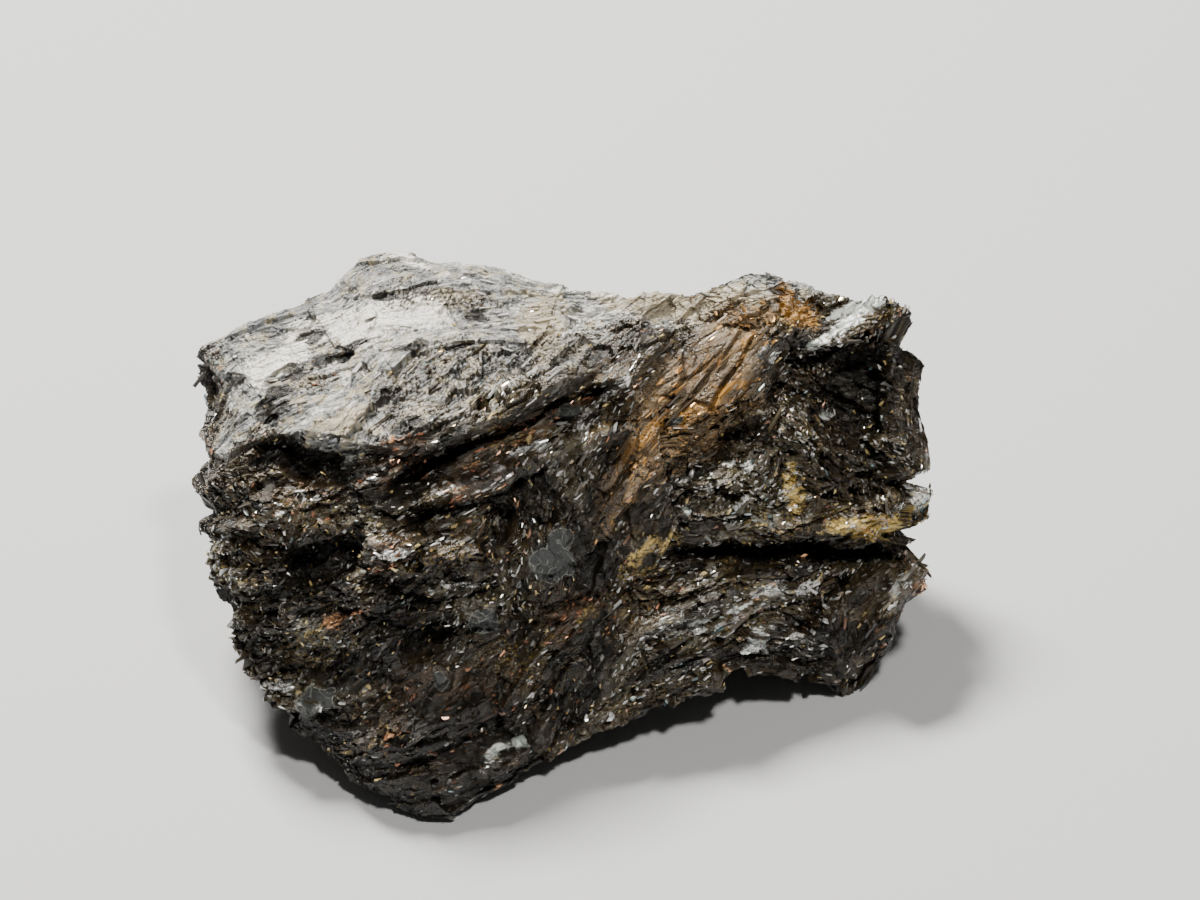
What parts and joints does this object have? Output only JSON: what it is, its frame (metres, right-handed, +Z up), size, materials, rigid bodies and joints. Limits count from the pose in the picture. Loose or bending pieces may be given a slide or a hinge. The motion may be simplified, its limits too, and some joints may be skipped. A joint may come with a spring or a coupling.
{
  "type": "nuummite specimen",
  "caption": "Rough hand-sized chunk of dark lath-grained nuummite with a dusty sloping top, a stepped broken front and an arched underside, standing loose on its natural feet.",
  "frame": {"origin": "middle of the underside of the stone's box, on the surface it rests on", "axes": "+X to the right along the longest side, +Y to the back, +Z up; the broken front faces -Y"},
  "size_m": [0.054, 0.0332, 0.0274],
  "materials": {
    "nuummite": "rough broken laths, dark brown-black with silvery, coppery and bronze glints; pale grey-cream weathering on the top"
  },
  "bodies": {
    "root": {"nuummite": "nuummite"}
  },
  "joints": []
}
